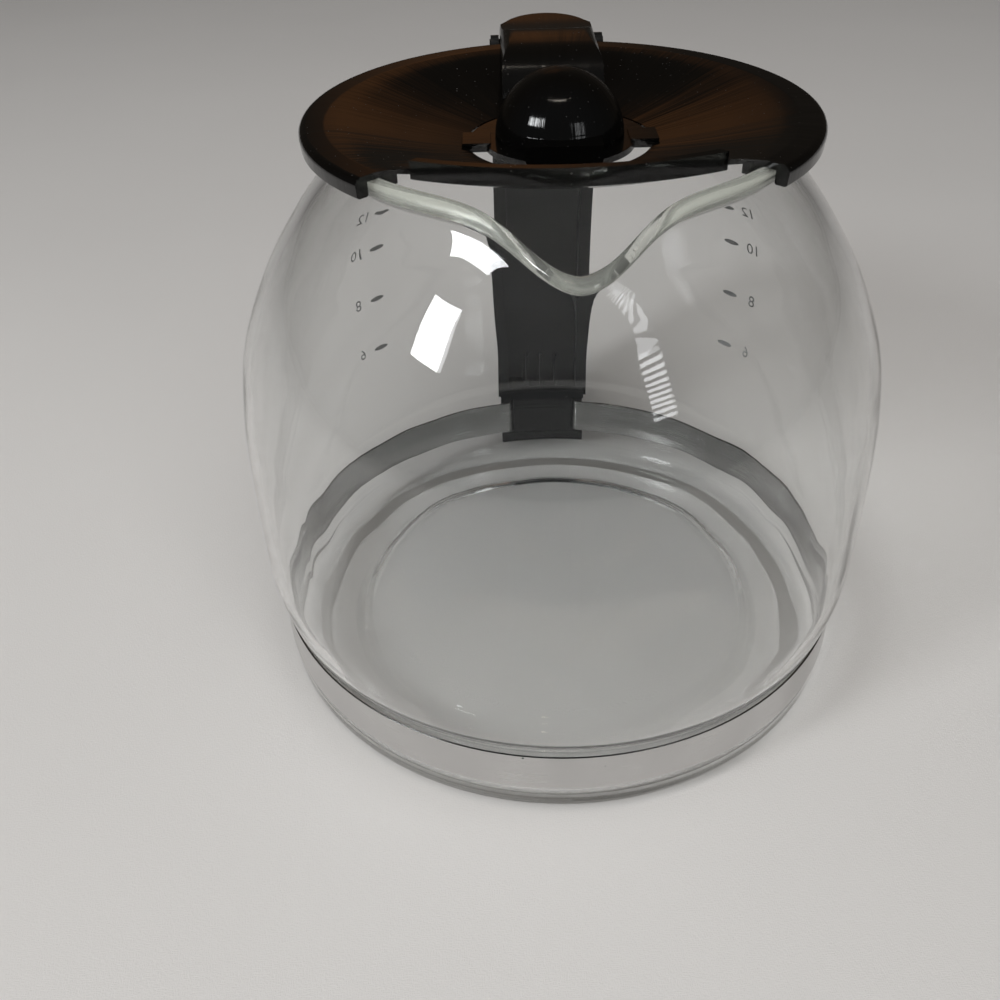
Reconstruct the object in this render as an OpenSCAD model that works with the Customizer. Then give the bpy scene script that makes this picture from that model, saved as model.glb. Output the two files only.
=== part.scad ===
// Glass carafe of a drip coffee maker: vessel, base band, handle and hinged brew-through lid.
// Millimetres. Z up, table at z = 0, spout towards -Y, handle towards +Y, vessel axis on Z.

/* [Vessel] */
// radius of the vessel under the band
waist_r = 76.2; // [70:0.1:82]
// largest outside radius of the belly
belly_r = 79.1; // [74:0.1:86]
// height of the centre of the rolled rim
rim_z = 140; // [120:1:160]
// radius of the centre line of the rolled rim
rim_r = 50.4; // [44:0.1:56]
// radius of the rolled rim's own bead
bead_r = 1.9; // [1.2:0.1:3]
// thickness of the glass wall
wall_t = 2.4; // [1.5:0.1:4]
// how far the spout stands out of the rim circle
spout_out = 12.5; // [4:0.5:20]
// how far the spout dips below the rim
spout_drop = 8.5; // [2:0.5:16]
// angular width of the spout, half of it
spout_half_deg = 13.5; // [8:0.5:24]

/* [Band] */
// lower edge of the band
band_z0 = 10.2; // [6:0.1:14]
// height of the band
band_h = 11.1; // [6:0.1:16]
// thickness of the strip
band_t = 0.5; // [0.3:0.1:1]
// half the distance between the two folded ears
ear_x = 10.6; // [8:0.1:13]

/* [Handle] */
// width of the spine that lies on the glass
spine_w = 30; // [24:0.5:36]
// width of the grip
grip_w = 28; // [22:0.5:34]
// thickness of the grip
grip_t = 15; // [12:0.5:20]
// distance of the grip's centre line from the vessel axis
grip_y = 117; // [108:0.5:128]
// height of the grip's upper arm, at its centre line
arm_z = 113.5; // [105:0.5:120]

/* [Lid] */
// outside radius of the lid
lid_r = 56.2; // [52:0.1:62]
// height of the lid's flat rim
lid_z = 143.5; // [141:0.1:148]
// radius of the centre hole
hole_r = 20.4; // [16:0.1:26]
// height of the dish at the edge of the hole
hole_z = 137; // [134:0.1:141]
// radius of the centre dome
dome_r = 14.1; // [10:0.1:16]
// half the angle over which the skirt is cut away for the spout
mouth_half_deg = 46.5; // [35:0.5:60]
// distance of the cut-back front edge from the axis
front_y = 36; // [30:0.5:44]
// radius of the bow of the front edge
front_bow_r = 77.2; // [60:0.2:120]

/* [Hinge] */
// distance of the hinge line from the vessel axis
hinge_y = 58; // [56.5:0.1:62]
// height of the hinge line
hinge_z = 142.1; // [140:0.1:146]
// radius of the hinge stubs
stub_r = 1.5; // [1:0.05:2.5]
// radial running clearance of the stubs
stub_gap = 0.06; // [0.02:0.01:0.1]

/* [Hidden] */
$fa = 4;
$fs = 0.4;
gap = 0.3;

black = [0.035, 0.034, 0.036];
grey_black = [0.07, 0.07, 0.075];
steel = [0.75, 0.76, 0.78];

// ---- curves shared by several sub-parts ----

// Catmull-Rom curve through points p, n steps a span.
function cr(a, b, c, d, t) =
    0.5 * (2 * b + (c - a) * t + (2 * a - 5 * b + 4 * c - d) * t * t + (3 * b - a - 3 * c + d) * t * t * t);
function smooth(p, n) = let (m = len(p) - 1) concat(
    [for (i = [0:m - 1]) for (k = [0:n - 1])
        cr(p[max(i - 1, 0)], p[i], p[i + 1], p[min(i + 2, m)], k / n)], [p[m]]);
// Unit normal of a polyline, to the left of its direction.
function unit(v) = v / norm(v);
function left_n(p, i) = let (d = unit(p[min(i + 1, len(p) - 1)] - p[max(i - 1, 0)])) [-d[1], d[0]];
function shifted(p, s) = [for (i = [0:len(p) - 1]) p[i] + s * left_n(p, i)];
function reversed(p) = [for (i = [len(p) - 1:-1:0]) p[i]];
function arc(c, r, a0, a1, n) = [for (k = [0:n]) let (a = a0 + (a1 - a0) * k / n) c + r * [cos(a), sin(a)]];

// Outside of the belly and shoulder, from just above the band to the neck: [radius, height].
belly_z0 = band_z0 + band_h + 0.5;
neck = [rim_r - 1.1, rim_z - 2.2];
belly = smooth([[waist_r + 0.1, belly_z0], [77.5, 25.5], [belly_r - 0.3, 33], [belly_r, 42], [belly_r, 56],
                [belly_r - 0.3, 70], [belly_r - 1.2, 81], [belly_r - 3.8, 94], [belly_r - 10.3, 109],
                [belly_r - 18.2, 121.5], [53.6, 131], [50.6, 135.2], neck], 3);
function at_z(p, z) = lookup(z, [for (q = p) [q[1], q[0]]]);

// A side view [y, z] drawn at x = 0 and given a width in X.
module side(w) rotate([90, 0, 90]) translate([0, 0, -w / 2]) linear_extrude(w) children();
// The mirror pair of something drawn at positive X.
module both() { children(); mirror([1, 0, 0]) children(); }
module ring(r0, r1, h) difference() {
    cylinder(r = r1, h = h);
    translate([0, 0, -1]) cylinder(r = r0, h = h + 2);
}

// ---- glass vessel ----

foot_in = 58.5;
foot_out = 70.8;
heel_r = 76.4;
punt_r = 48;
punt_z = 4.4;
floor_t = 2.8;
heel_f = heel_r - foot_out;
cut_z = 119;
sector = spout_half_deg * 2.6;

// Base and waist, outside then inside.
base_out = concat([[0, punt_z], [punt_r, punt_z], [punt_r + 2.6, punt_z - 0.3], [punt_r + 4.6, punt_z - 1.2],
     [punt_r + 6.6, punt_z - 2.7], [foot_in - 2, 0.5], [foot_in, 0]],
    arc([foot_out, heel_f], heel_f, -90, 0, 6), [[heel_r, band_z0 - 0.6], [waist_r, band_z0 - 0.2]]);
base_in = [[0, punt_z + floor_t], [punt_r - 1, punt_z + floor_t], [punt_r + 2, punt_z + floor_t - 0.3],
           [punt_r + 4.2, punt_z + floor_t - 1.2], [punt_r + 6.2, punt_z + floor_t - 2.6],
           [foot_in - 1.8, floor_t + 0.7], [foot_in + 2, floor_t + 0.2], [foot_out - 3, floor_t],
           [foot_out - 0.2, 3.6], [waist_r - wall_t - 0.9, 6.6], [waist_r - wall_t, 10.5]];
belly_in = shifted(belly, wall_t);
low_out = [for (q = belly) if (q[1] <= cut_z) q];
low_in = [for (q = belly_in) if (q[1] <= cut_z) q];

module vessel_low() rotate_extrude($fn = 180)
    polygon(concat(base_out, low_out, [[at_z(belly, cut_z), cut_z], [at_z(belly_in, cut_z), cut_z]],
                   reversed(low_in), reversed(base_in)));

// Wall section above the cut: out over the shoulder, round the bead, back down inside.
up_out = concat([[at_z(belly, cut_z), cut_z]], [for (q = belly) if (q[1] > cut_z) q]);
up_in = concat([[at_z(belly_in, cut_z), cut_z]],
    [for (q = belly_in) if (q[1] > cut_z && q[1] < rim_z - 2.4) q]);
module up_section() {
    polygon(concat(up_out, [[rim_r - 0.4, rim_z], [rim_r - 1.2, rim_z]], reversed(up_in)));
    translate([rim_r, rim_z]) circle(r = bead_r, $fn = 28);
}
module vessel_up() rotate([0, 0, -90 + sector])
    rotate_extrude(angle = 360 - 2 * sector, $fn = 180) up_section();

// The spout: the wall section carried across the front, pulled out and down in the middle.
function pull(a) = exp(-pow(abs(a) / spout_half_deg, 1.8));
function lift(z) = max(0, min(1, (z - cut_z - 1) / (rim_z - cut_z - 1)));
slim = 0.12;
// The wall section as a strip: outside points up, the bead, the same number of inside points down.
core = [for (i = [0:len(belly) - 1]) if (belly[i][1] > cut_z + 1 && belly[i][1] < rim_z - 3 ) i];
spout_line = concat([[at_z(belly, cut_z - 3) - slim, cut_z - 3]], [for (i = core) belly[i] - [slim, 0]],
    arc([rim_r, rim_z], bead_r - slim, -48, 228, 11), reversed([for (i = core) belly_in[i] + [slim, 0]]),
    [[at_z(belly_in, cut_z - 3) + slim, cut_z - 3]]);
function fat(q, g) = let (c = [rim_r, rim_z], d = q - c) norm(d) < bead_r + 0.2 ? c + d * (1 + 0.28 * g) : q;
function spout_pt(q0, a) = let (g = pull(a), q = fat(q0, g), t = lift(q0[1]),
    r = q[0] + spout_out * g * pow(t, 1.7),
    z = q[1] - spout_drop * g * pow(t, 2.2)) [r * sin(a), -r * cos(a), z];
module vessel_spout() {
    n = 34;
    m = len(spout_line);
    lap = 0.8;
    span = sector + lap;
    pts = [for (i = [0:n]) for (q = spout_line) spout_pt(q, -span + 2 * span * i / n)];
    walls = [for (i = [0:n - 1]) for (j = [0:m - 1]) let (a = i * m + j, b = i * m + (j + 1) % m)
        each [[a, b + m, a + m], [a, b, b + m]]];
    ends = [for (j = [0:m / 2 - 2]) let (k = m - 1 - j) each [[j, k, k - 1], [j, k - 1, j + 1]]];
    far_ends = [for (t = ends) [t[0] + n * m, t[2] + n * m, t[1] + n * m]];
    polyhedron(pts, concat(walls, ends, far_ends), convexity = 8);
}
module glass_vessel() color([0.86, 0.9, 0.89, 0.35]) union() {
    vessel_low();
    vessel_up();
    vessel_spout();
}

// ---- base band ----

band_in = waist_r + 0.15;
band_mid = band_in + band_t / 2;
fold_r = 2.25;
fold_deg = asin((ear_x + fold_r) / (band_mid + fold_r));
tab_r = 1.5;
tab_y = 84;
screw_z = band_z0 + band_h / 2;
// Centre line of one end, from its tab round both folds to the ring, drawn on the +X side.
function end_line(y) = let (cb = (band_mid + fold_r) * [sin(fold_deg), cos(fold_deg)]) concat(
    [[-6.5, y + tab_r]], arc([ear_x - tab_r, y], tab_r, 90, 0, 8), arc(cb, fold_r, 180, 270 - fold_deg, 10));
band_line = concat(end_line(tab_y), arc([0, 0], band_mid, 89 - fold_deg, -269 + fold_deg, 150),
    [for (q = reversed(end_line(tab_y - band_t - 0.05))) [-q[0], q[1]]]);
module base_band() color(steel) difference() {
    translate([0, 0, band_z0]) linear_extrude(band_h)
        polygon(concat(shifted(band_line, band_t / 2), reversed(shifted(band_line, -band_t / 2))));
    translate([0, tab_y - 3, screw_z]) rotate([-90, 0, 0]) cylinder(r = 2.2, h = 8);
}

// ---- band screw and nut ----

screw_r = 1.95;
head_y = 90.2;
nut_w = 7;
nut_t = 3.2;
nut_y = tab_y + tab_r - band_t * 1.5 - 0.15 - nut_t;
module band_screw() color(steel) translate([0, 0, screw_z]) rotate([-90, 0, 0]) difference() {
    union() {
        translate([0, 0, nut_y - 1]) cylinder(r = screw_r, h = head_y - nut_y + 1.5);
        translate([0, 0, head_y]) cylinder(r1 = 3.8, r2 = 3.3, h = 1.6);
        translate([0, 0, head_y + 1.6]) cylinder(r1 = 3.3, r2 = 2.2, h = 0.7);
    }
    for (a = [0, 90]) rotate([0, 0, a]) translate([-2, -0.45, head_y + 0.9]) cube([4, 0.9, 3]);
}
module band_nut() color(steel) translate([0, nut_y, screw_z]) difference() {
    translate([-nut_w / 2, 0, -nut_w / 2]) cube([nut_w, nut_t, nut_w]);
    translate([0, -1, 0]) rotate([-90, 0, 0]) cylinder(r = screw_r + 0.05, h = nut_t + 2);
}

// ---- handle ----

glass_gap = 0.4;
spine_d = 8;
web_d = 3.4;
spine_z0 = 23.6;
rail_x = 11.4;
foot_x = 14.2;
foot_y1 = 89.9;
foot_z0 = 9.6;
peg_x = 12;
peg_y = 81.4;
peg_t = 1.2;
peg_l = 5;
peg_h = 4;

// What the handle keeps clear of: the vessel and its rim, and the band.
module vessel_room() rotate_extrude($fn = 180)
    polygon(concat([[0, -2], [heel_r + glass_gap, -2], [heel_r + glass_gap, band_z0 - 0.8]],
        [[band_mid + band_t / 2 + gap, band_z0 - 0.7], [band_mid + band_t / 2 + gap, band_z0 + band_h + 0.6]],
        [for (q = shifted(belly, -glass_gap)) if (q[1] > 25) q],
        [[rim_r + bead_r + 0.35, rim_z - 1.6], [rim_r + bead_r + 0.35, rim_z + bead_r + 0.3],
         [0, rim_z + bead_r + 0.3]]));

back = [for (q = belly) if (q[1] > 24 && q[1] < 133) q];
back_rear = shifted(back, -spine_d);
module spine_shape() polygon(concat([[70, spine_z0]], [for (q = back) q - [6, 0]], [[51, 137.6], [56, 138.6]],
    reversed([for (q = back_rear) if (q[1] < 129) q]), [[87, spine_z0]]));
// Channel between the rails of the spine.
module channel_shape(d) polygon(concat([[60, spine_z0 + 1.4]], [for (q = back) q - [12, 0]],
    reversed([for (q = shifted(back, -d)) if (q[1] < 130) q]), [[79.8 + d - web_d, spine_z0 + 1.4]]));

corner_r = 15;
sweep_r = 34;
arm_y0 = 74;
top_c = [grip_y - corner_r, arm_z - corner_r];
low_c = [grip_y - sweep_r, 62];
// Carries a section [outward, across] along the grip: arm, corner, grip, lower sweep.
module along_grip() rotate([90, 0, 90]) {
    translate([arm_y0, arm_z, 0]) rotate([90, 0, 90]) linear_extrude(top_c[0] - arm_y0) children();
    translate([top_c[0], top_c[1], 0]) rotate_extrude(angle = 90, $fn = 96)
        translate([corner_r, 0]) children();
    translate([grip_y, top_c[1], 0]) rotate([90, 0, 0]) linear_extrude(top_c[1] - low_c[1]) children();
    translate([low_c[0], low_c[1], 0]) rotate([0, 0, -90]) rotate_extrude(angle = 90, $fn = 144)
        translate([sweep_r, 0]) children();
}
module rounded(w, h, r) {
    square([w - 2 * r, h], center = true);
    square([w, h - 2 * r], center = true);
    for (x = [-1, 1], y = [-1, 1]) translate([x * (w / 2 - r), y * (h / 2 - r)]) circle(r = r, $fn = 32);
}
groove_w = 20;
groove_d = 9;
module cover_cut() translate([grip_t / 2 - groove_d, -groove_w / 2]) square([groove_d + 1, groove_w]);

cheek_x0 = 12.3;
cheek_t = 2.1;
cheek_r = 2.4;
module cheek() both() translate([cheek_x0 + cheek_t / 2, 0, 0]) side(cheek_t) {
    translate([hinge_y, hinge_z]) circle(r = cheek_r, $fn = 48);
    polygon([[hinge_y - 0.6, hinge_z], [hinge_y + cheek_r, hinge_z], [hinge_y + cheek_r + 4, 126],
             [60, 126], [56.2, 136.6]]);
}
hook_w = 15;
hook_in = rim_r - bead_r - 1.2;
module hook() side(hook_w) polygon([[hook_in - 1.8, rim_z - 1.9], [hook_in - 0.2, rim_z - 1.9],
    [hook_in, rim_z + bead_r + 0.25], [rim_r + bead_r + 0.4, rim_z + bead_r + 0.25],
    [rim_r + bead_r + 0.4, 135], [56.4, 135], [56.4, rim_z + bead_r + 1.1], [55.5, rim_z + bead_r + 1.9],
    [hook_in - 0.8, rim_z + bead_r + 1.9], [hook_in - 1.8, rim_z + bead_r + 1.2]]);
rib_x = [-5.2, -0.4, 4.4];

module foot_block() translate([-foot_x, 72, foot_z0]) cube([2 * foot_x, foot_y1 - 72, spine_z0 + 3 - foot_z0]);
// Everything cut out of the foot from below.
module foot_room() {
    z0 = foot_z0 - 1;
    h = 23.2 - foot_z0;
    // slots for the ears, and the space behind the core for the tabs
    both() translate([ear_x - 0.6, 70, z0]) cube([1.2, tab_y - 69, h]);
    translate([-ear_x - 0.6, tab_y + 0.3, z0]) cube([2 * ear_x + 1.2, 2, h]);
    // holes of the cap's pegs
    both() translate([peg_x - 0.1, peg_y - 0.1, z0]) cube([peg_t + 0.2, peg_l + 0.2, peg_h + 1.1]);
    // clears the outward folds
    both() translate([ear_x + 0.3, 70, z0]) cube([6, 10.6, h]);
    // pocket of the nut, bore and seat of the screw
    translate([-nut_w / 2 - 0.1, nut_y - 0.4, z0]) cube([nut_w + 0.2, 4.2, screw_z + 4.6 - foot_z0]);
    translate([0, nut_y - 2, screw_z]) rotate([-90, 0, 0]) cylinder(r = 2.25, h = 12);
}

module handle_frame() color(grey_black) difference() {
    union() {
        difference() {
            side(spine_w) spine_shape();
            side(2 * rail_x) channel_shape(web_d);
            // shallow pocket low on the left of the web
            translate([-rail_x, 78, spine_z0 + 1.4]) cube([4.6, 6.2, 8.6]);
        }
        // ribs at the foot of the channel
        for (x = rib_x) translate([x - 0.5, 78.4, spine_z0]) cube([1, 5, 14.4]);
        difference() {
            along_grip() difference() { rounded(grip_t, grip_w, 5); cover_cut(); }
            // the arms end at the spine
            side(40) polygon(concat([[40, 10]], [for (q = shifted(back, -spine_d + 1.5)) q], [[40, 132]]));
        }
        // solid ends of the grooved arm where it meets the spine
        translate([-groove_w / 2, 84, arm_z - 4]) cube([groove_w, 4, 11]);
        foot_block();
        cheek();
        hook();
    }
    vessel_room_trim();
    foot_room();
    // bores of the hinge
    translate([-20, hinge_y, hinge_z]) rotate([0, 90, 0]) cylinder(r = stub_r + stub_gap, h = 40, $fn = 64);
}
// The rim's own clearance leaves the hook standing.
module vessel_room_trim() difference() {
    vessel_room();
    side(hook_w + 1) polygon([[30, rim_z - 2.6], [hook_in, rim_z - 2.6], [hook_in, rim_z + bead_r + 0.25],
                              [hook_in, rim_z + 9], [30, rim_z + 9]]);
}

// ---- grip cover, spine panel, foot cap ----

cover_t = 2.6;
module cover_section() {
    translate([grip_t / 2 - cover_t - 0.2, -groove_w / 2 + 0.15]) square([cover_t, groove_w - 0.3]);
    for (s = [-1, 1]) translate([grip_t / 2 - 7, s * (groove_w / 2 - 1.4) - 0.7]) square([5.4, 1.4]);
}
module grip_cover() color(black) difference() {
    along_grip() cover_section();
    side(40) polygon(concat([[40, 10]], [for (q = shifted(back, -spine_d - 1)) q], [[40, 132]]));
    translate([-20, 60, arm_z - 12]) cube([40, 28.3, 30]);
    translate([-20, 60, 15]) cube([40, 32, 20]);
}

seam_z = 56.5;
module spine_panel() color(black) difference() {
    intersection() {
        side(2 * rail_x - 0.3) channel_shape(web_d - 0.1);
        translate([-20, 40, seam_z]) cube([40, 60, 70]);
    }
    side(40) polygon(concat([[30, 20]], [for (q = shifted(back, -1.5)) q], [[30, 140]]));
}

cap_z0 = 5.6;
module foot_cap() color(grey_black) difference() {
    union() {
        translate([-foot_x, 70, cap_z0]) cube([2 * foot_x, foot_y1 - 70, foot_z0 - cap_z0 - 0.05]);
        // pegs that clip between the ears and the side walls
        both() translate([peg_x, peg_y, cap_z0]) cube([peg_t, peg_l, foot_z0 - cap_z0 + peg_h]);
    }
    vessel_room();
}

// ---- lid ----

skirt_in = rim_r + bead_r + 1;
inner_skirt = rim_r - bead_r - 0.9;
dish = smooth([[hole_r, hole_z], [27, 138.3], [34, 139.8], [41, 141.5], [46.5, 142.8],
               [49.5, lid_z - 0.2], [51, lid_z]], 2);
dish_t = 1.2;
under_z = rim_z + bead_r + 0.3;
module lid_section() polygon(concat(dish,
    [[lid_r - 1.6, lid_z]], arc([lid_r - 1.6, lid_z - 1.6], 1.6, 90, 0, 6),
    [[lid_r - 0.2, rim_z - 0.3], [lid_r - 0.7, rim_z - 0.6], [skirt_in + 0.3, rim_z - 0.6],
     [skirt_in, rim_z - 0.3], [skirt_in, under_z], [inner_skirt, under_z], [inner_skirt, rim_z - 0.1],
     [inner_skirt - 1.6, rim_z - 0.1], [inner_skirt - 1.6, under_z - 0.5]],
    reversed([for (q = shifted(dish, -dish_t)) if (q[0] < 44) q])));
bow_c = [0, front_bow_r - front_y];
// Plan of what is left of the mouth sector: all behind the bowed front edge.
module mouth_plan() difference() {
    polygon([[0, 0], [-90 * tan(mouth_half_deg), -90], [90 * tan(mouth_half_deg), -90]]);
    translate(bow_c) circle(r = front_bow_r, $fn = 180);
}
module front_wall() intersection() {
    translate([0, 0, rim_z - 0.6]) linear_extrude(lid_z - rim_z + 0.6) difference() {
        translate(bow_c) circle(r = front_bow_r, $fn = 180);
        translate(bow_c) circle(r = front_bow_r - 2, $fn = 180);
    }
    linear_extrude(200) polygon([[0, 0], [-60 * tan(mouth_half_deg), -60], [60 * tan(mouth_half_deg), -60]]);
}
// Slopes the lower corner of the front edge away, as seen over the glass.
module front_slope() translate(bow_c) rotate_extrude($fn = 180)
    polygon([[front_bow_r - 3, 130], [front_bow_r - 3, 138.2],
             [front_bow_r + 1, rim_z + 0.3], [front_bow_r + 1, 130]]);
lever_x = 12;
module lid_plate() color(black) difference() {
    union() {
        rotate_extrude($fn = 180) lid_section();
        front_wall();
    }
    translate([0, 0, 120]) linear_extrude(40) mouth_plan();
    front_slope();
    // window under the hump for the rim hook, and the notch for the hinge cheeks
    translate([-lever_x + 1.9, 44.2, 130]) cube([2 * lever_x - 3.8, 20, 20]);
    translate([-cheek_x0 - cheek_t - 0.6, hinge_y - cheek_r - 1.6, 130])
        cube([2 * (cheek_x0 + cheek_t + 0.6), 20, 20]);
}

dome_z = 137.8;
flange_r = 16.6;
module dome_shell() difference() {
    union() {
        translate([0, 0, dome_z]) sphere(r = dome_r, $fn = 96);
        translate([0, 0, dome_z - 1.8]) cylinder(r = dome_r, h = 1.8, $fn = 96);
        translate([0, 0, dome_z - 1.8]) cylinder(r = flange_r, h = 1.4, $fn = 96);
        translate([-8, -17.4, dome_z - 1.8]) cube([16, 8, 5.2]);
    }
    translate([0, 0, dome_z]) sphere(r = dome_r - 1.7, $fn = 96);
    translate([0, 0, dome_z - 30]) cylinder(r = dome_r - 1.7, h = 30, $fn = 96);
    translate([-6.6, -16, dome_z - 3]) cube([13.2, 8, 5]);
    translate([-40, -40, dome_z - 41.8]) cube([80, 80, 40]);
}
clip_y = -4.5;
clip_x = flange_r - 1.5;
clip_l = hole_r + 0.9 - clip_x;
// A tab that lies on the edge of the dish, and behind it a lug that grips the edge from below.
module clip_arm() difference() {
    union() {
        translate([clip_x, clip_y, dome_z - 1.2]) cube([clip_l, 5, 1.3]);
        translate([clip_x, 0, dome_z - 3.4]) cube([clip_l, 3, 3.5]);
    }
    // slot that takes the edge of the dish
    rotate_extrude($fn = 180) polygon([[hole_r - 0.15, hole_z - dish_t - 0.25], [hole_r - 0.15, hole_z + 0.15],
        [24, hole_z + 0.8], [30, hole_z + 2], [30, hole_z - dish_t + 1], [24, hole_z - dish_t + 0.4]]);
}
// Closes the hole behind the two pouring crescents.
module rear_collar() intersection() {
    translate([0, 0, dome_z - 1.8]) ring(dome_r - 0.5, hole_r - 0.3, 0.9);
    translate([-30, clip_y, dome_z - 4]) cube([60, 40, 6]);
}
module lid_dome() color(black) union() {
    dome_shell();
    rear_collar();
    both() clip_arm();
}

// Side view of the hump and thumb lever, outside line from the dish to the tip.
tip_y = 72.5;
hump = smooth([[24.6, 138.4], [26, 142.6], [29, 145.8], [34, 147.7], [41, 148.5], [46, 148.5], [49.5, 147.9],
               [54, 146.8], [60, 146.2], [66, 146], [tip_y, 146.3]], 3);
hump_in = [for (q = shifted(hump, -1.8)) if (q[0] > 26 && q[0] < 50 && q[1] > 138) q];
module lever_side() polygon(concat(hump, [[tip_y, 144], [69, 143.3], [hinge_y + 4.5, 143.2],
    [hinge_y + 3, 139.4], [hinge_y - 2.5, 139.4], [hinge_y - 2.9, 141.6], [54.4, 143.7], [47, 143.5],
    [40, 141.5], [30, 139.2]]));
module hollow_side() polygon(concat(hump_in,
    [[56, 145.2], [60, 144.2], [61.6, 142.6], [61.6, 130], [hump_in[0][0], 130]]));
module lever_plan() {
    translate([-lever_x, 20]) square([2 * lever_x, 34]);
    polygon([[-lever_x, 53.9], [lever_x, 53.9], [lever_x, 62], [10.6, 65], [-10.6, 65], [-lever_x, 62]]);
    translate([0, tip_y - 11]) intersection() {
        circle(r = 11, $fn = 96);
        translate([-10.6, -1]) square([21.2, 20]);
    }
}
// Front view of the hump, with its round shoulders.
crest_r = 4;
crest_c = [lever_x - crest_r, 148.6 - crest_r];
crest = arc(crest_c, crest_r, 0, 84, 7);
module lever_front() polygon(concat([[-lever_x, 120], [lever_x, 120]], crest,
    [[crest_c[0], 150], [-crest_c[0], 150]], [for (q = reversed(crest)) [-q[0], q[1]]]));
module lid_lever() color(black) difference() {
    union() {
        difference() {
            intersection() {
                side(2 * lever_x) lever_side();
                translate([0, 0, 120]) linear_extrude(40) lever_plan();
                translate([0, 90, 0]) rotate([90, 0, 0]) linear_extrude(80) lever_front();
            }
            side(2 * lever_x - 3.6) hollow_side();
        }
        both() translate([lever_x - 0.5, hinge_y, hinge_z]) rotate([0, 90, 0])
            cylinder(r = stub_r, h = cheek_t + 1.1, $fn = 64);
    }
    // sits on the dish
    rotate_extrude($fn = 180) polygon(concat([[0, 120], [0, hole_z]], [for (q = shifted(dish, 0.02)) q],
        [[lid_r + 0.02, lid_z - 1], [lid_r + 0.02, 139.5], [54.6, 139.5], [54.6, 120]]));
}

glass_vessel();
base_band();
band_screw();
band_nut();
handle_frame();
grip_cover();
spine_panel();
foot_cap();
lid_plate();
lid_dome();
lid_lever();
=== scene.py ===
"""Looks of a glass coffee carafe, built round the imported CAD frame.

Metres, row frame: Z up, table at z = 0, vessel axis on Z, spout towards -Y, handle towards +Y.
"""
import math

import bmesh
import bpy
from mathutils import Matrix, Vector, noise


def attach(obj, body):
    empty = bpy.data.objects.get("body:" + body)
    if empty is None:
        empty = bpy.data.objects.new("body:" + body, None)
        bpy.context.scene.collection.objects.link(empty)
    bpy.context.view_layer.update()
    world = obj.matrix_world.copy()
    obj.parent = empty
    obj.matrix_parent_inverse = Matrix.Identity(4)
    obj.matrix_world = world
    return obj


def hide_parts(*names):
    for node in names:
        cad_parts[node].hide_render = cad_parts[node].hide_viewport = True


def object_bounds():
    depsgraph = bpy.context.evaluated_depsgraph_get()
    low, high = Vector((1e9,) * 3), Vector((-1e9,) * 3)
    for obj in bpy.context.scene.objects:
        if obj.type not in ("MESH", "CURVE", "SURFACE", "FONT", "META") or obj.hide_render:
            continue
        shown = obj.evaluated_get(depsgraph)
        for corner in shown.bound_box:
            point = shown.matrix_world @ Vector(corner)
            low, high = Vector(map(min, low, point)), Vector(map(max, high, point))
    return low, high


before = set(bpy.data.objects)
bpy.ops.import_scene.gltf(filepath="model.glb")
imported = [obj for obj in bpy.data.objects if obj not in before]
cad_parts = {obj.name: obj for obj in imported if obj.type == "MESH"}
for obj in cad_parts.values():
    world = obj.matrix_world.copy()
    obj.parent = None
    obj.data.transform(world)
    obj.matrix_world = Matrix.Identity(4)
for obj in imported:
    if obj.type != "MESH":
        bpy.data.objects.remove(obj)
cad_low, cad_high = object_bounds()
bpy.context.scene.view_settings.view_transform = "Standard"

MM = 0.001
BODY, LID = "carafe", "lid"


# ---------------------------------------------------------------- materials

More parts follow.
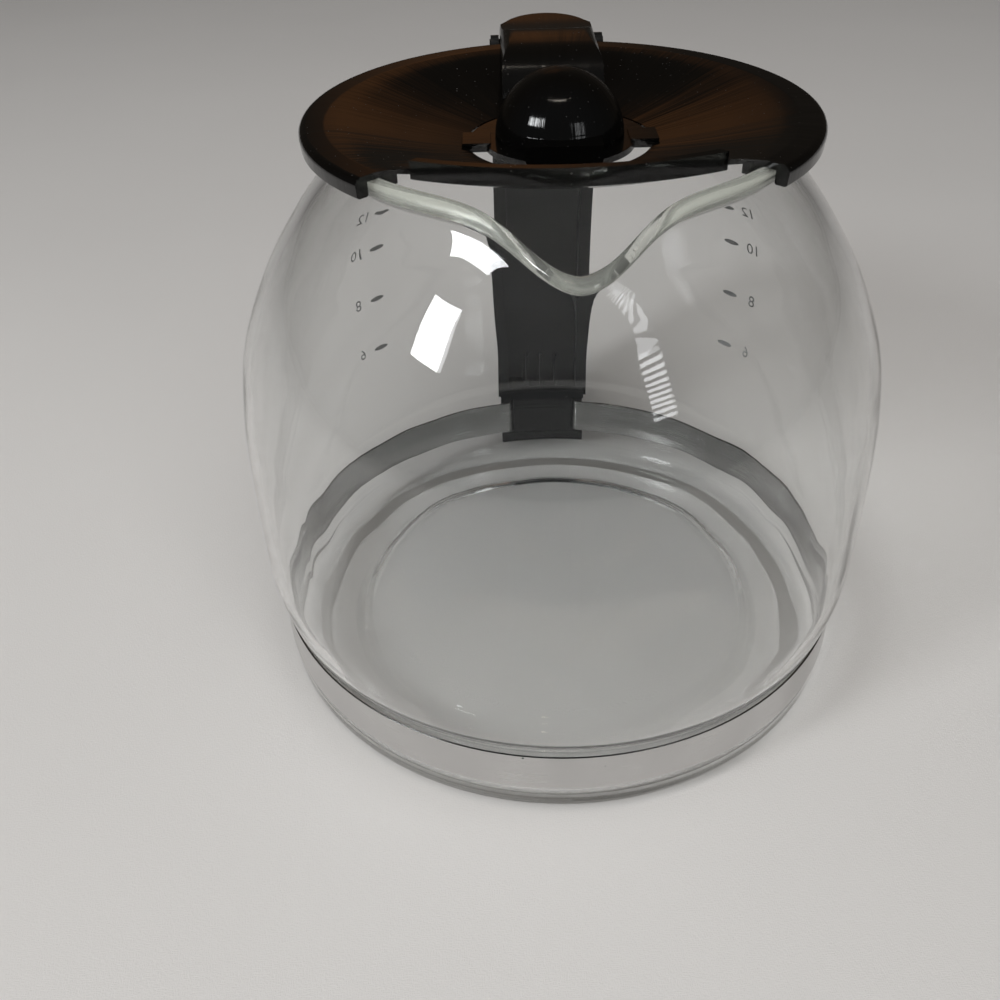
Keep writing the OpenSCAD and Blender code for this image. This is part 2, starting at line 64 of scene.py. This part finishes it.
class Nodes:
    """Short ways to wire the nodes of a tree. A value is a number, a colour or another node's socket."""

    def __init__(self, tree):
        self.tree = tree

    def new(self, kind, **inputs):
        node = self.tree.nodes.new("ShaderNode" + kind)
        for key, value in inputs.items():
            self.put(node.inputs[key.replace("_", " ")], value)
        return node

    def put(self, socket, value):
        if isinstance(value, bpy.types.NodeSocket):
            self.tree.links.new(value, socket)
        else:
            socket.default_value = value

    def coords(self):
        return self.new("TexCoord").outputs["Object"]

    def math(self, operation, *values):
        node = self.new("Math")
        node.operation = operation
        for socket, value in zip(node.inputs, values):
            self.put(socket, value)
        return node.outputs[0]

    def noise(self, vector, scale, detail=3.0, rough=0.5):
        node = self.new("TexNoise", Vector=vector, Scale=scale, Detail=detail, Roughness=rough)
        return node.outputs["Fac"]

    def stretch(self, vector, x, y, z):
        return self.new("Mapping", Vector=vector, Scale=(x, y, z)).outputs[0]

    def span(self, value, low, high, to_low, to_high):
        node = self.new("MapRange", Value=value, From_Min=low, From_Max=high, To_Min=to_low, To_Max=to_high)
        return node.outputs[0]

    def blend(self, factor, a, b):
        node = self.new("Mix")
        node.data_type = "RGBA"
        self.put(node.inputs[0], factor)
        self.put(node.inputs[6], a)
        self.put(node.inputs[7], b)
        return node.outputs[2]

    def polar(self, vector, turn, radial, height):
        """Coordinates that run round the Z axis: angle from the spout, distance from the axis, height."""
        split = self.new("SeparateXYZ", Vector=vector)
        x, y, z = split.outputs
        angle = self.math("ARCTAN2", x, self.math("MULTIPLY", y, -1.0))
        reach = self.math("SQRT", self.math("ADD", self.math("MULTIPLY", x, x), self.math("MULTIPLY", y, y)))
        join = self.new("CombineXYZ")
        for socket, part, share in zip(join.inputs, (angle, reach, z), (turn, radial, height)):
            self.put(socket, self.math("MULTIPLY", part, share))
        return join.outputs[0]

    def specks(self, vector, scale, size, share):
        """1 inside small round specks, and 0 elsewhere. share is the part of the cells that hold one."""
        cells = self.new("TexVoronoi", Vector=vector, Scale=scale)
        inside = self.math("LESS_THAN", cells.outputs["Distance"], size)
        split = self.new("SeparateColor", Color=cells.outputs["Color"])
        return self.math("MULTIPLY", inside, self.math("LESS_THAN", split.outputs[0], share))

    def edges(self, start, end):
        """Rises on convex edges."""
        return self.span(self.new("NewGeometry").outputs["Pointiness"], start, end, 0.0, 1.0)

    def bump(self, height, distance, strength=1.0, under=None):
        node = self.new("Bump", Height=height, Distance=distance, Strength=strength)
        if under is not None:
            self.put(node.inputs["Normal"], under)
        return node.outputs[0]


class Shader(Nodes):
    """A Principled material and the nodes in front of it."""

    def __init__(self, name, **sockets):
        self.material = bpy.data.materials.new(name)
        self.material.use_nodes = True
        super().__init__(self.material.node_tree)
        self.bsdf = self.tree.nodes["Principled BSDF"]
        self.set(**sockets)

    def set(self, **sockets):
        for key, value in sockets.items():
            self.put(self.bsdf.inputs[key.replace("_", " ")], value)
        return self.material


def grey(value, warm=0.0):
    return (value * (1 + warm), value, value * (1 - warm), 1.0)


def clear_glass(name, tint, clear, haze, passed):
    """Glass with faint smears and dried drops. clear is the share of light that goes through, haze the
    roughness of a clean spot, and passed what a ray from a lamp keeps at each face."""
    s = Shader(name, Transmission_Weight=clear, IOR=1.474, Base_Color=tint)
    at = s.coords()
    smear = s.noise(s.stretch(at, 1, 1, 0.35), 38.0, 4.0, 0.6)
    drops = s.specks(at, 160.0, 0.10, 0.02)
    film = s.math("ADD", s.span(smear, 0.5, 0.9, haze, haze + 0.04), s.math("MULTIPLY", drops, 0.12))
    s.set(Roughness=film, Normal=s.bump(drops, 0.00001, 0.15))
    # Rays from the lamps pass straight through the wall. What they keep at each face is set to
    # match the brightness of the photograph, and is less than real glass lets through.
    through = s.new("BsdfTransparent", Color=passed)
    both = s.new("MixShader")
    s.put(both.inputs[0], s.new("LightPath").outputs["Is Shadow Ray"])
    s.put(both.inputs[1], s.bsdf.outputs[0])
    s.put(both.inputs[2], through.outputs[0])
    s.put(s.tree.nodes["Material Output"].inputs["Surface"], both.outputs[0])
    return s.material


def polished_band():
    """Steel strip: fine rolling lines along it, cloudy polish and a few pits."""
    s = Shader("polished_steel_strip", Metallic=1.0, Anisotropic=0.35)
    at = s.coords()
    lines = s.noise(s.polar(at, 3.0, 0.0, 5200.0), 1.0, 2.0, 0.6)
    cloud = s.noise(at, 55.0, 3.0)
    pits = s.specks(at, 420.0, 0.12, 0.05)
    tone = s.blend(cloud, grey(0.50, 0.01), grey(0.68, 0.01))
    rough = s.math("ADD", s.span(lines, 0.3, 0.7, 0.10, 0.24), s.span(cloud, 0.35, 0.75, 0.0, 0.10))
    return s.set(Base_Color=s.blend(pits, tone, grey(0.05)), Roughness=rough,
                 Normal=s.bump(lines, 0.00001, 0.35))


def zinc():
    """Zinc plate on the screw and nut."""
    s = Shader("zinc_plate", Metallic=1.0)
    at = s.coords()
    cloud = s.noise(at, 700.0, 3.0)
    return s.set(Base_Color=s.blend(cloud, grey(0.42, 0.02), grey(0.62, 0.03)),
                 Roughness=s.span(cloud, 0.3, 0.7, 0.25, 0.45),
                 Normal=s.bump(s.noise(at, 2600.0, 2.0), 0.00002, 0.4))


def satin_plastic(name, tone, rough):
    """Moulded handle plastic: spark-eroded grain, cloudy wear and paler edges."""
    s = Shader(name, Specular_IOR_Level=0.28)
    at = s.coords()
    grain = s.noise(at, 2300.0, 2.0, 0.6)
    cloud = s.noise(at, 42.0, 4.0, 0.6)
    dust = s.specks(at, 480.0, 0.16, 0.035)
    worn = s.edges(0.53, 0.62)
    colour = s.blend(cloud, grey(tone * 0.8, 0.02), grey(tone * 1.25, 0.0))
    colour = s.blend(s.math("MULTIPLY", worn, 0.35), colour, grey(tone * 3.0))
    colour = s.blend(s.math("MULTIPLY", dust, 0.3), colour, grey(0.2))
    shine = s.span(cloud, 0.3, 0.75, rough - 0.06, rough + 0.1)
    shine = s.math("SUBTRACT", shine, s.math("MULTIPLY", worn, 0.12))
    return s.set(Base_Color=colour, Roughness=shine, Normal=s.bump(grain, 0.00003, 0.5))


def gloss_plastic(name, tone, rough, warm):
    """Polished mould surface: flow lines that run out from the middle, fine scratches, dust."""
    s = Shader(name, Specular_IOR_Level=0.42)
    at = s.coords()
    flow = s.noise(s.polar(at, 9.0, 6.0, 6.0), 1.0, 4.0, 0.6)
    hair = s.noise(s.polar(at, 90.0, 14.0, 14.0), 1.0, 2.0, 0.5)
    smear = s.noise(at, 60.0, 4.0, 0.65)
    near = s.span(s.noise(at, 30.0, 2.0), 0.4, 0.65, 0.15, 1.0)
    dust = s.math("MAXIMUM", s.specks(at, 700.0, 0.12, 0.05), s.specks(at, 1700.0, 0.2, 0.04))
    dust = s.math("MULTIPLY", near, dust)
    lint = s.math("GREATER_THAN", s.noise(s.polar(at, 60.0, 900.0, 300.0), 1.0, 1.0), 0.8)
    lint = s.math("MULTIPLY", lint, 0.1)
    colour = s.blend(flow, grey(tone * 0.7, warm), grey(tone * 1.5, warm))
    colour = s.blend(s.math("MAXIMUM", s.math("MULTIPLY", dust, 0.28), lint), colour, grey(0.25, 0.03))
    shine = s.math("ADD", s.span(smear, 0.35, 0.8, rough, rough + 0.10), s.span(hair, 0.4, 0.8, 0.0, 0.06))
    shine = s.math("ADD", shine, s.math("MULTIPLY", dust, 0.4))
    return s.set(Base_Color=colour, Roughness=shine,
                 Normal=s.bump(hair, 0.00002, 0.35, s.bump(flow, 0.0006, 0.25)))


def printed_ink():
    """Worn grey print."""
    s = Shader("printed_ink")
    at = s.coords()
    wear = s.noise(at, 1300.0, 3.0, 0.7)
    return s.set(Base_Color=s.blend(wear, grey(0.36), grey(0.52)),
                 Roughness=s.span(wear, 0.3, 0.7, 0.45, 0.7), Normal=s.bump(wear, 0.00001, 0.4))


def table_cloth():
    """Plain pale woven cloth that lies almost flat."""
    s = Shader("table_cloth", Sheen_Weight=0.15, Specular_IOR_Level=0.2)
    at = s.coords()
    cloud = s.noise(at, 5.0, 3.0)
    warp, weft = (s.noise(s.stretch(at, x, y, 1), 900.0, 2.0) for x, y in ((1, 5), (5, 1)))
    weave = s.math("ADD", warp, weft)
    sag = s.noise(at, 7.0, 2.0, 0.4)
    return s.set(Base_Color=s.blend(cloud, grey(0.74, 0.022), grey(0.79, 0.022)),
                 Roughness=s.span(cloud, 0.2, 0.8, 0.8, 0.95),
                 Normal=s.bump(weave, 0.00025, 0.35, s.bump(sag, 0.004, 0.25)))


# ---------------------------------------------------------------- mesh helpers

def link(name, mesh, material, smooth=True):
    piece = bpy.data.objects.new(name, mesh)
    bpy.context.scene.collection.objects.link(piece)
    mesh.materials.append(material)
    mesh.polygons.foreach_set("use_smooth", [smooth] * len(mesh.polygons))
    return piece


SHARP = math.radians(32.0)
FLAT = math.radians(0.6)
SLIVER = 0.0005 * MM


def refined(node, name, body, material, bevel, weld=0.002 * MM):
    """The CAD node's own shape as a new piece with welded faces, rounded edges and smooth curved faces.

    bevel is the widest that the rounding can be, and short edges hold it back. Points closer than weld
    become one.
    """
    bm = bmesh.new()
    bm.from_mesh(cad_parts[node].data)
    bmesh.ops.remove_doubles(bm, verts=bm.verts, dist=weld)
    bmesh.ops.dissolve_limit(bm, angle_limit=FLAT, verts=bm.verts, edges=bm.edges)
    sharp = [e for e in bm.edges if len(e.link_faces) == 2 and e.calc_face_angle(0.0) > SHARP]
    bmesh.ops.bevel(bm, geom=sharp, offset=bevel, segments=2, profile=0.6, affect="EDGES",
                    clamp_overlap=True, loop_slide=True)
    bmesh.ops.dissolve_degenerate(bm, dist=SLIVER, edges=bm.edges)
    bmesh.ops.remove_doubles(bm, verts=bm.verts, dist=SLIVER)
    bmesh.ops.recalc_face_normals(bm, faces=bm.faces)
    for e in bm.edges:
        e.smooth = e.calc_face_angle(0.0) < SHARP
    mesh = bpy.data.meshes.new(name)
    bm.to_mesh(mesh)
    bm.free()
    piece = link(name, mesh, material)
    normals = piece.modifiers.new("even_normals", "WEIGHTED_NORMAL")
    normals.keep_sharp = True
    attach(piece, body)
    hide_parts(node)


def catmull(points, steps):
    """A smooth line through points, with so many steps a span."""
    line = []
    last = len(points) - 1
    for i in range(last):
        a, b, c, d = (Vector(points[max(0, min(last, i + k))]) for k in (-1, 0, 1, 2))
        for k in range(steps):
            t = k / steps
            line.append(0.5 * (2 * b + (c - a) * t + (2 * a - 5 * b + 4 * c - d) * t * t
                               + (3 * b - a - 3 * c + d) * t ** 3))
    return line + [Vector(points[last])]


def offset_line(line, distance):
    """The line moved to its left by distance."""
    moved = []
    for i, p in enumerate(line):
        d = (line[min(i + 1, len(line) - 1)] - line[max(i - 1, 0)]).normalized()
        moved.append(p + Vector((-d.y, d.x)) * distance)
    return moved


def arc(centre, radius, start, end, count):
    """Points on an arc from one angle to another, in degrees."""
    turns = (math.radians(start + (end - start) * k / count) for k in range(count + 1))
    return [Vector((centre[0] + radius * math.cos(a), centre[1] + radius * math.sin(a))) for a in turns]


# ---------------------------------------------------------------- glass vessel
# Sizes here are millimetres, and the same as the CAD vessel's own.

WALL = 2.4
RIM_R, RIM_Z, BEAD_R = 50.4, 140.0, 1.9
BELLY_R = cad_high.x / MM
SPOUT_OUT, SPOUT_DROP, SPOUT_DEG = 12.5, 8.5, 13.5
SPOUT_SWELL = 0.28
SHOULDER_Z = 119.0
# the faint waves inside the wall: how deep, as a share of the radius, from where to where, and their fade
WAVE, WAVE_LOW, WAVE_HIGH, WAVE_FADE = 0.0016, 12, 128, 20


def belly_line():
    """Outside of the vessel from above the band to the neck, as radius and height in millimetres."""
    waist = [(76.2, 10.2), (76.25, 17), (76.3, 21.8), (77.5, 25.5)]
    belly = [(BELLY_R - 0.3, 33), (BELLY_R, 42), (BELLY_R, 56), (BELLY_R - 0.3, 70), (BELLY_R - 1.2, 81)]
    shoulder = [(BELLY_R - 3.8, 94), (BELLY_R - 10.3, 109), (BELLY_R - 18.2, 121.5)]
    neck = [(53.6, 131), (50.6, 135.2), (RIM_R - 1.1, RIM_Z - 2.2)]
    return catmull(waist + belly + shoulder + neck, 6)


def vessel_section():
    """The whole wall as one closed line from the outside middle of the base to the inside middle."""
    base_out = [(0, 4.4), (20, 4.4), (40, 4.4), (48, 4.4), (50.6, 4.1), (52.6, 3.2), (54.6, 1.7), (56.5, 0.5),
                (58.5, 0.02), (62, 0.0), (66, 0.0), (70.8, 0.0)]
    heel = arc((70.8, 5.6), 5.6, -84, -4, 9)
    belly = belly_line()
    inner = [p for p in offset_line(belly, WALL) if 21 < p.y < RIM_Z - 2.4]
    bead = arc((RIM_R, RIM_Z), BEAD_R, -52, 232, 20)
    base_in = [(73.8, 10.5), (72.9, 6.6), (70.6, 3.9), (67.8, 2.9), (64, 2.85), (60.5, 3.0), (56.7, 3.5),
               (54.2, 4.6), (52.2, 6.0), (50, 6.9), (47, 7.2), (38, 7.2), (20, 7.2), (0, 7.2)]
    outer = [p for p in belly if p.y < RIM_Z - 2.6]
    return (catmull(base_out, 4) + heel + outer + bead + inner[::-1]
            + catmull([inner[0]] + base_in, 5)[1:])


def spouted(point, azimuth):
    """Carries a section point round the axis, pulled out and down at the spout."""
    pull = math.exp(-(abs(azimuth) / SPOUT_DEG) ** 1.8)
    lift = max(0.0, min(1.0, (point.y - SHOULDER_Z - 1) / (RIM_Z - SHOULDER_Z - 1)))
    r, z = point
    from_bead = Vector((r - RIM_R, z - RIM_Z))
    if from_bead.length < BEAD_R + 0.2:
        swell = 1 + SPOUT_SWELL * pull
        r, z = RIM_R + from_bead.x * swell, RIM_Z + from_bead.y * swell
    r += SPOUT_OUT * pull * lift ** 1.7
    z -= SPOUT_DROP * pull * lift ** 2.2
    a = math.radians(azimuth)
    return Vector((r * math.sin(a), -r * math.cos(a), z))


def make_vessel():
    """The whole vessel in one closed mesh, with finer steps round the spout and a hazier rolled rim."""
    section = vessel_section()
    azimuths = [i * 1.0 for i in range(-48, 48)] + [48 + i * 2.0 for i in range(132)]
    bm = bmesh.new()
    rings = []
    inside_from = max(range(len(section)), key=lambda i: section[i].y)
    on_bead = [(p - Vector((RIM_R, RIM_Z))).length < BEAD_R + 0.2 for p in section]
    for i, point in enumerate(section):
        if point.x < 1e-6:
            rings.append([bm.verts.new(Vector((0, 0, point.y)) * MM)])
            continue
        ring = []
        for azimuth in azimuths:
            p = spouted(point, (azimuth + 180) % 360 - 180)
            if i > inside_from and WAVE_LOW < p.z < WAVE_HIGH:
                # blown glass is never quite even inside
                wave = noise.noise(Vector((p.x * 0.03, p.y * 0.03, p.z * 0.012)))
                wave += 0.35 * noise.noise(Vector((p.x * 0.12, p.y * 0.12, p.z * 0.03 + 7)))
                fade = min(1.0, (p.z - WAVE_LOW) / WAVE_FADE, (WAVE_HIGH - p.z) / WAVE_FADE)
                p.xy *= 1 - WAVE * wave * fade
            ring.append(bm.verts.new(p * MM))
        rings.append(ring)
    for i, (low, high) in enumerate(zip(rings, rings[1:])):
        for k in range(len(azimuths)):
            n = (k + 1) % len(azimuths)
            corners = [low[k % len(low)], low[n % len(low)], high[n % len(high)], high[k % len(high)]]
            face = bm.faces.new(list(dict.fromkeys(corners)))
            face.material_index = int(on_bead[i] and on_bead[i + 1])
    bmesh.ops.recalc_face_normals(bm, faces=bm.faces)
    mesh = bpy.data.meshes.new("glass_wall")
    bm.to_mesh(mesh)
    bm.free()
    wall = clear_glass("clear_glass", (0.985, 0.99, 0.987, 1), 1.0, 0.0, (0.74, 0.742, 0.738, 1))
    # the rim's haze and tint are tuned to the photograph
    rim = clear_glass("rim_glass", (0.88, 0.91, 0.84, 1), 0.84, 0.10, (0.8, 0.81, 0.8, 1))
    piece = link("glass_wall", mesh, wall)
    mesh.materials.append(rim)
    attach(piece, BODY)
    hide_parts("glass_vessel")


# ---------------------------------------------------------------- printed cup marks

# height of each mark, and the azimuths of its dash and its numeral in the two rows
MARK_HEIGHTS = {"6": 54.2, "8": 71.2, "10": 88.3, "12": 101.0}
MARK_SIDES = {"left": (-41.5, -47.0), "right": (45.5, 51.5)}
DASH_R, DASH_H = 2.6, 0.75
NUMERAL_SIZE = 4.9
INK = 0.02
OFF_GLASS = 0.05


def onto_glass(mesh, azimuth, height):
    """Wraps a flat mesh, drawn in millimetres, on the outside of the glass. Azimuth is from +Y towards +X."""
    line = belly_line()
    for v in mesh.vertices:
        z = height + v.co.y
        upper = next(i for i, p in enumerate(line) if p.y > z)
        a, b = line[upper - 1], line[upper]
        r = a.x + (b.x - a.x) * (z - a.y) / (b.y - a.y) + OFF_GLASS + v.co.z
        turn = math.radians(azimuth) - v.co.x / r
        v.co = Vector((r * math.sin(turn), r * math.cos(turn), z)) * MM


def numeral_mesh(text):
    curve = bpy.data.curves.new("numeral", "FONT")
    curve.body, curve.size, curve.extrude = text, NUMERAL_SIZE, INK
    curve.align_x, curve.align_y = "CENTER", "CENTER"
    holder = bpy.data.objects.new("numeral", curve)
    bpy.context.scene.collection.objects.link(holder)
    bpy.context.view_layer.update()
    mesh = bpy.data.meshes.new_from_object(holder.evaluated_get(bpy.context.evaluated_depsgraph_get()))
    bpy.data.objects.remove(holder)
    return mesh


def dash_mesh():
    bm = bmesh.new()
    outline = [bm.verts.new((DASH_R * math.cos(a), DASH_H * math.sin(a), -INK))
               for a in (2 * math.pi * k / 28 for k in range(28))]
    face = bm.faces.new(outline)
    top = bmesh.ops.extrude_face_region(bm, geom=[face])["geom"]
    bmesh.ops.translate(bm, verts=[v for v in top if isinstance(v, bmesh.types.BMVert)], vec=(0, 0, 2 * INK))
    bmesh.ops.recalc_face_normals(bm, faces=bm.faces)
    mesh = bpy.data.meshes.new("dash")
    bm.to_mesh(mesh)
    bm.free()
    return mesh


def make_marks():
    ink = printed_ink()
    for tag, (dash_deg, numeral_deg) in MARK_SIDES.items():
        for text, height in MARK_HEIGHTS.items():
            bm = bmesh.new()
            for mesh, azimuth in ((dash_mesh(), dash_deg), (numeral_mesh(text), numeral_deg)):
                onto_glass(mesh, azimuth, height)
                bm.from_mesh(mesh)
                bpy.data.meshes.remove(mesh)
            bmesh.ops.remove_doubles(bm, verts=bm.verts, dist=0.001 * MM)
            name = f"cup_mark_{text}_{tag}"
            mesh = bpy.data.meshes.new(name)
            bm.to_mesh(mesh)
            bm.free()
            piece = link(name, mesh, ink, smooth=False)
            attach(piece, BODY)


# ---------------------------------------------------------------- stage, light, camera

def make_floor():
    bm = bmesh.new()
    bmesh.ops.create_grid(bm, x_segments=24, y_segments=24, size=3.0)
    mesh = bpy.data.meshes.new("table")
    bm.to_mesh(mesh)
    bm.free()
    link("table", mesh, table_cloth())


def area_light(name, azimuth, elevation, distance, size, energy, colour):
    """A rectangular soft light that faces the vessel. Azimuth is from +Y towards +X, in degrees."""
    data = bpy.data.lights.new(name, "AREA")
    data.shape, data.size, data.size_y = "RECTANGLE", size[0], size[1]
    data.energy, data.color = energy, colour
    light = bpy.data.objects.new(name, data)
    bpy.context.scene.collection.objects.link(light)
    a, e = math.radians(azimuth), math.radians(elevation)
    out = Vector((math.sin(a) * math.cos(e), math.cos(a) * math.cos(e), math.sin(e)))
    light.location = Vector((0, 0, 0.1)) + out * distance
    light.rotation_mode = "QUATERNION"
    light.rotation_quaternion = out.to_track_quat("Z", "Y")
    return light


def make_lights():
    """Two windows behind the camera, the right one with blinds, a small lamp and the light of the room."""
    daylight, lamplight = (0.965, 0.985, 1.0), (1.0, 0.9, 0.78)
    area_light("window_left", -125, 33, 1.15, (0.22, 0.24), 4.0, daylight)
    for k in range(11):
        area_light(f"window_right_{k}", 147, 17 + 1.7 * k, 1.15, (0.16, 0.018), 0.05, daylight)
    area_light("overhead", -165, 76, 1.3, (0.05, 0.05), 0.5, lamplight)
    # the bounced light of the room, kept out of gloss so that it shows no image of itself
    fill = area_light("ceiling_bounce", 180, 62, 1.6, (1.7, 1.7), 18.3, (1.0, 0.985, 0.965))
    fill.visible_glossy = fill.visible_transmission = False


def make_world():
    """A plain room: grey behind the camera, dark beyond the table, with a brown patch for the lid's gloss."""
    world = bpy.data.worlds.new("room")
    bpy.context.scene.world = world
    world.use_nodes = True
    w = Nodes(world.node_tree)
    where = w.new("TexCoord").outputs["Generated"]
    x, y, z = w.new("SeparateXYZ", Vector=where).outputs
    near, far, brown = (0.075, 0.077, 0.08, 1), (0.03, 0.025, 0.02, 1), (0.19, 0.085, 0.035, 1)
    room = w.blend(w.span(y, -0.5, 0.55, 0.0, 1.0), near, far)
    across = w.span(w.math("ABSOLUTE", x), 0.03, 0.17, 1.0, 0.0)
    upright = w.span(w.math("ABSOLUTE", w.math("SUBTRACT", z, 0.36)), 0.06, 0.2, 1.0, 0.0)
    ahead = w.math("GREATER_THAN", y, 0.0)
    patch = w.math("MULTIPLY", w.math("MULTIPLY", across, upright), ahead)
    w.put(world.node_tree.nodes["Background"].inputs["Color"], w.blend(patch, room, brown))


CAMERA_AT = Vector((-15.0, -232.3, 215.5)) * MM
CAMERA_PITCH, CAMERA_YAW, CAMERA_ROLL = 37.47, -0.11, -1.72
CAMERA_LENS = 38.06


def make_camera():
    data = bpy.data.cameras.new("photo_view")
    data.sensor_width, data.lens, data.clip_start = 36.0, CAMERA_LENS, 0.01
    camera = bpy.data.objects.new("photo_view", data)
    bpy.context.scene.collection.objects.link(camera)
    pitch, yaw, roll = (math.radians(v) for v in (CAMERA_PITCH, CAMERA_YAW, CAMERA_ROLL))
    ahead = Vector((math.sin(yaw) * math.cos(pitch), math.cos(yaw) * math.cos(pitch), -math.sin(pitch)))
    level = Vector((math.cos(yaw), -math.sin(yaw), 0))
    upright = level.cross(ahead)
    right = math.cos(roll) * level + math.sin(roll) * upright
    up = right.cross(ahead)
    turn = Matrix((right, up, -ahead)).transposed().to_4x4()
    camera.matrix_world = Matrix.Translation(CAMERA_AT) @ turn
    bpy.context.scene.camera = camera


# ---------------------------------------------------------------- the carafe

make_camera()
make_world()
make_lights()
make_floor()

make_vessel()
make_marks()

handle_black = satin_plastic("handle_plastic", 0.010, 0.42)
panel_black = satin_plastic("panel_plastic", 0.013, 0.5)
lid_black = gloss_plastic("lid_gloss_black", 0.0015, 0.04, 0.08)
lever_black = gloss_plastic("lever_gloss_black", 0.0025, 0.14, 0.15)
screw_steel = zinc()

refined("base_band", "base_band_strip", BODY, polished_band(), 0.1 * MM)
refined("band_screw", "band_screw_m4", BODY, screw_steel, 0.15 * MM)
refined("band_nut", "band_square_nut", BODY, screw_steel, 0.3 * MM)
refined("handle_frame", "handle_moulding", BODY, handle_black, 0.35 * MM)
refined("grip_cover", "grip_strip", BODY, handle_black, 0.35 * MM)
refined("spine_panel", "spine_filler", BODY, panel_black, 0.3 * MM)
refined("foot_cap", "foot_cover", BODY, handle_black, 0.35 * MM)
refined("lid_plate", "lid_disc", LID, lid_black, 0.45 * MM)
refined("lid_dome", "lid_button", LID, lid_black, 0.35 * MM)
refined("lid_lever", "thumb_lever", LID, lever_black, 0.6 * MM, 0.12 * MM)
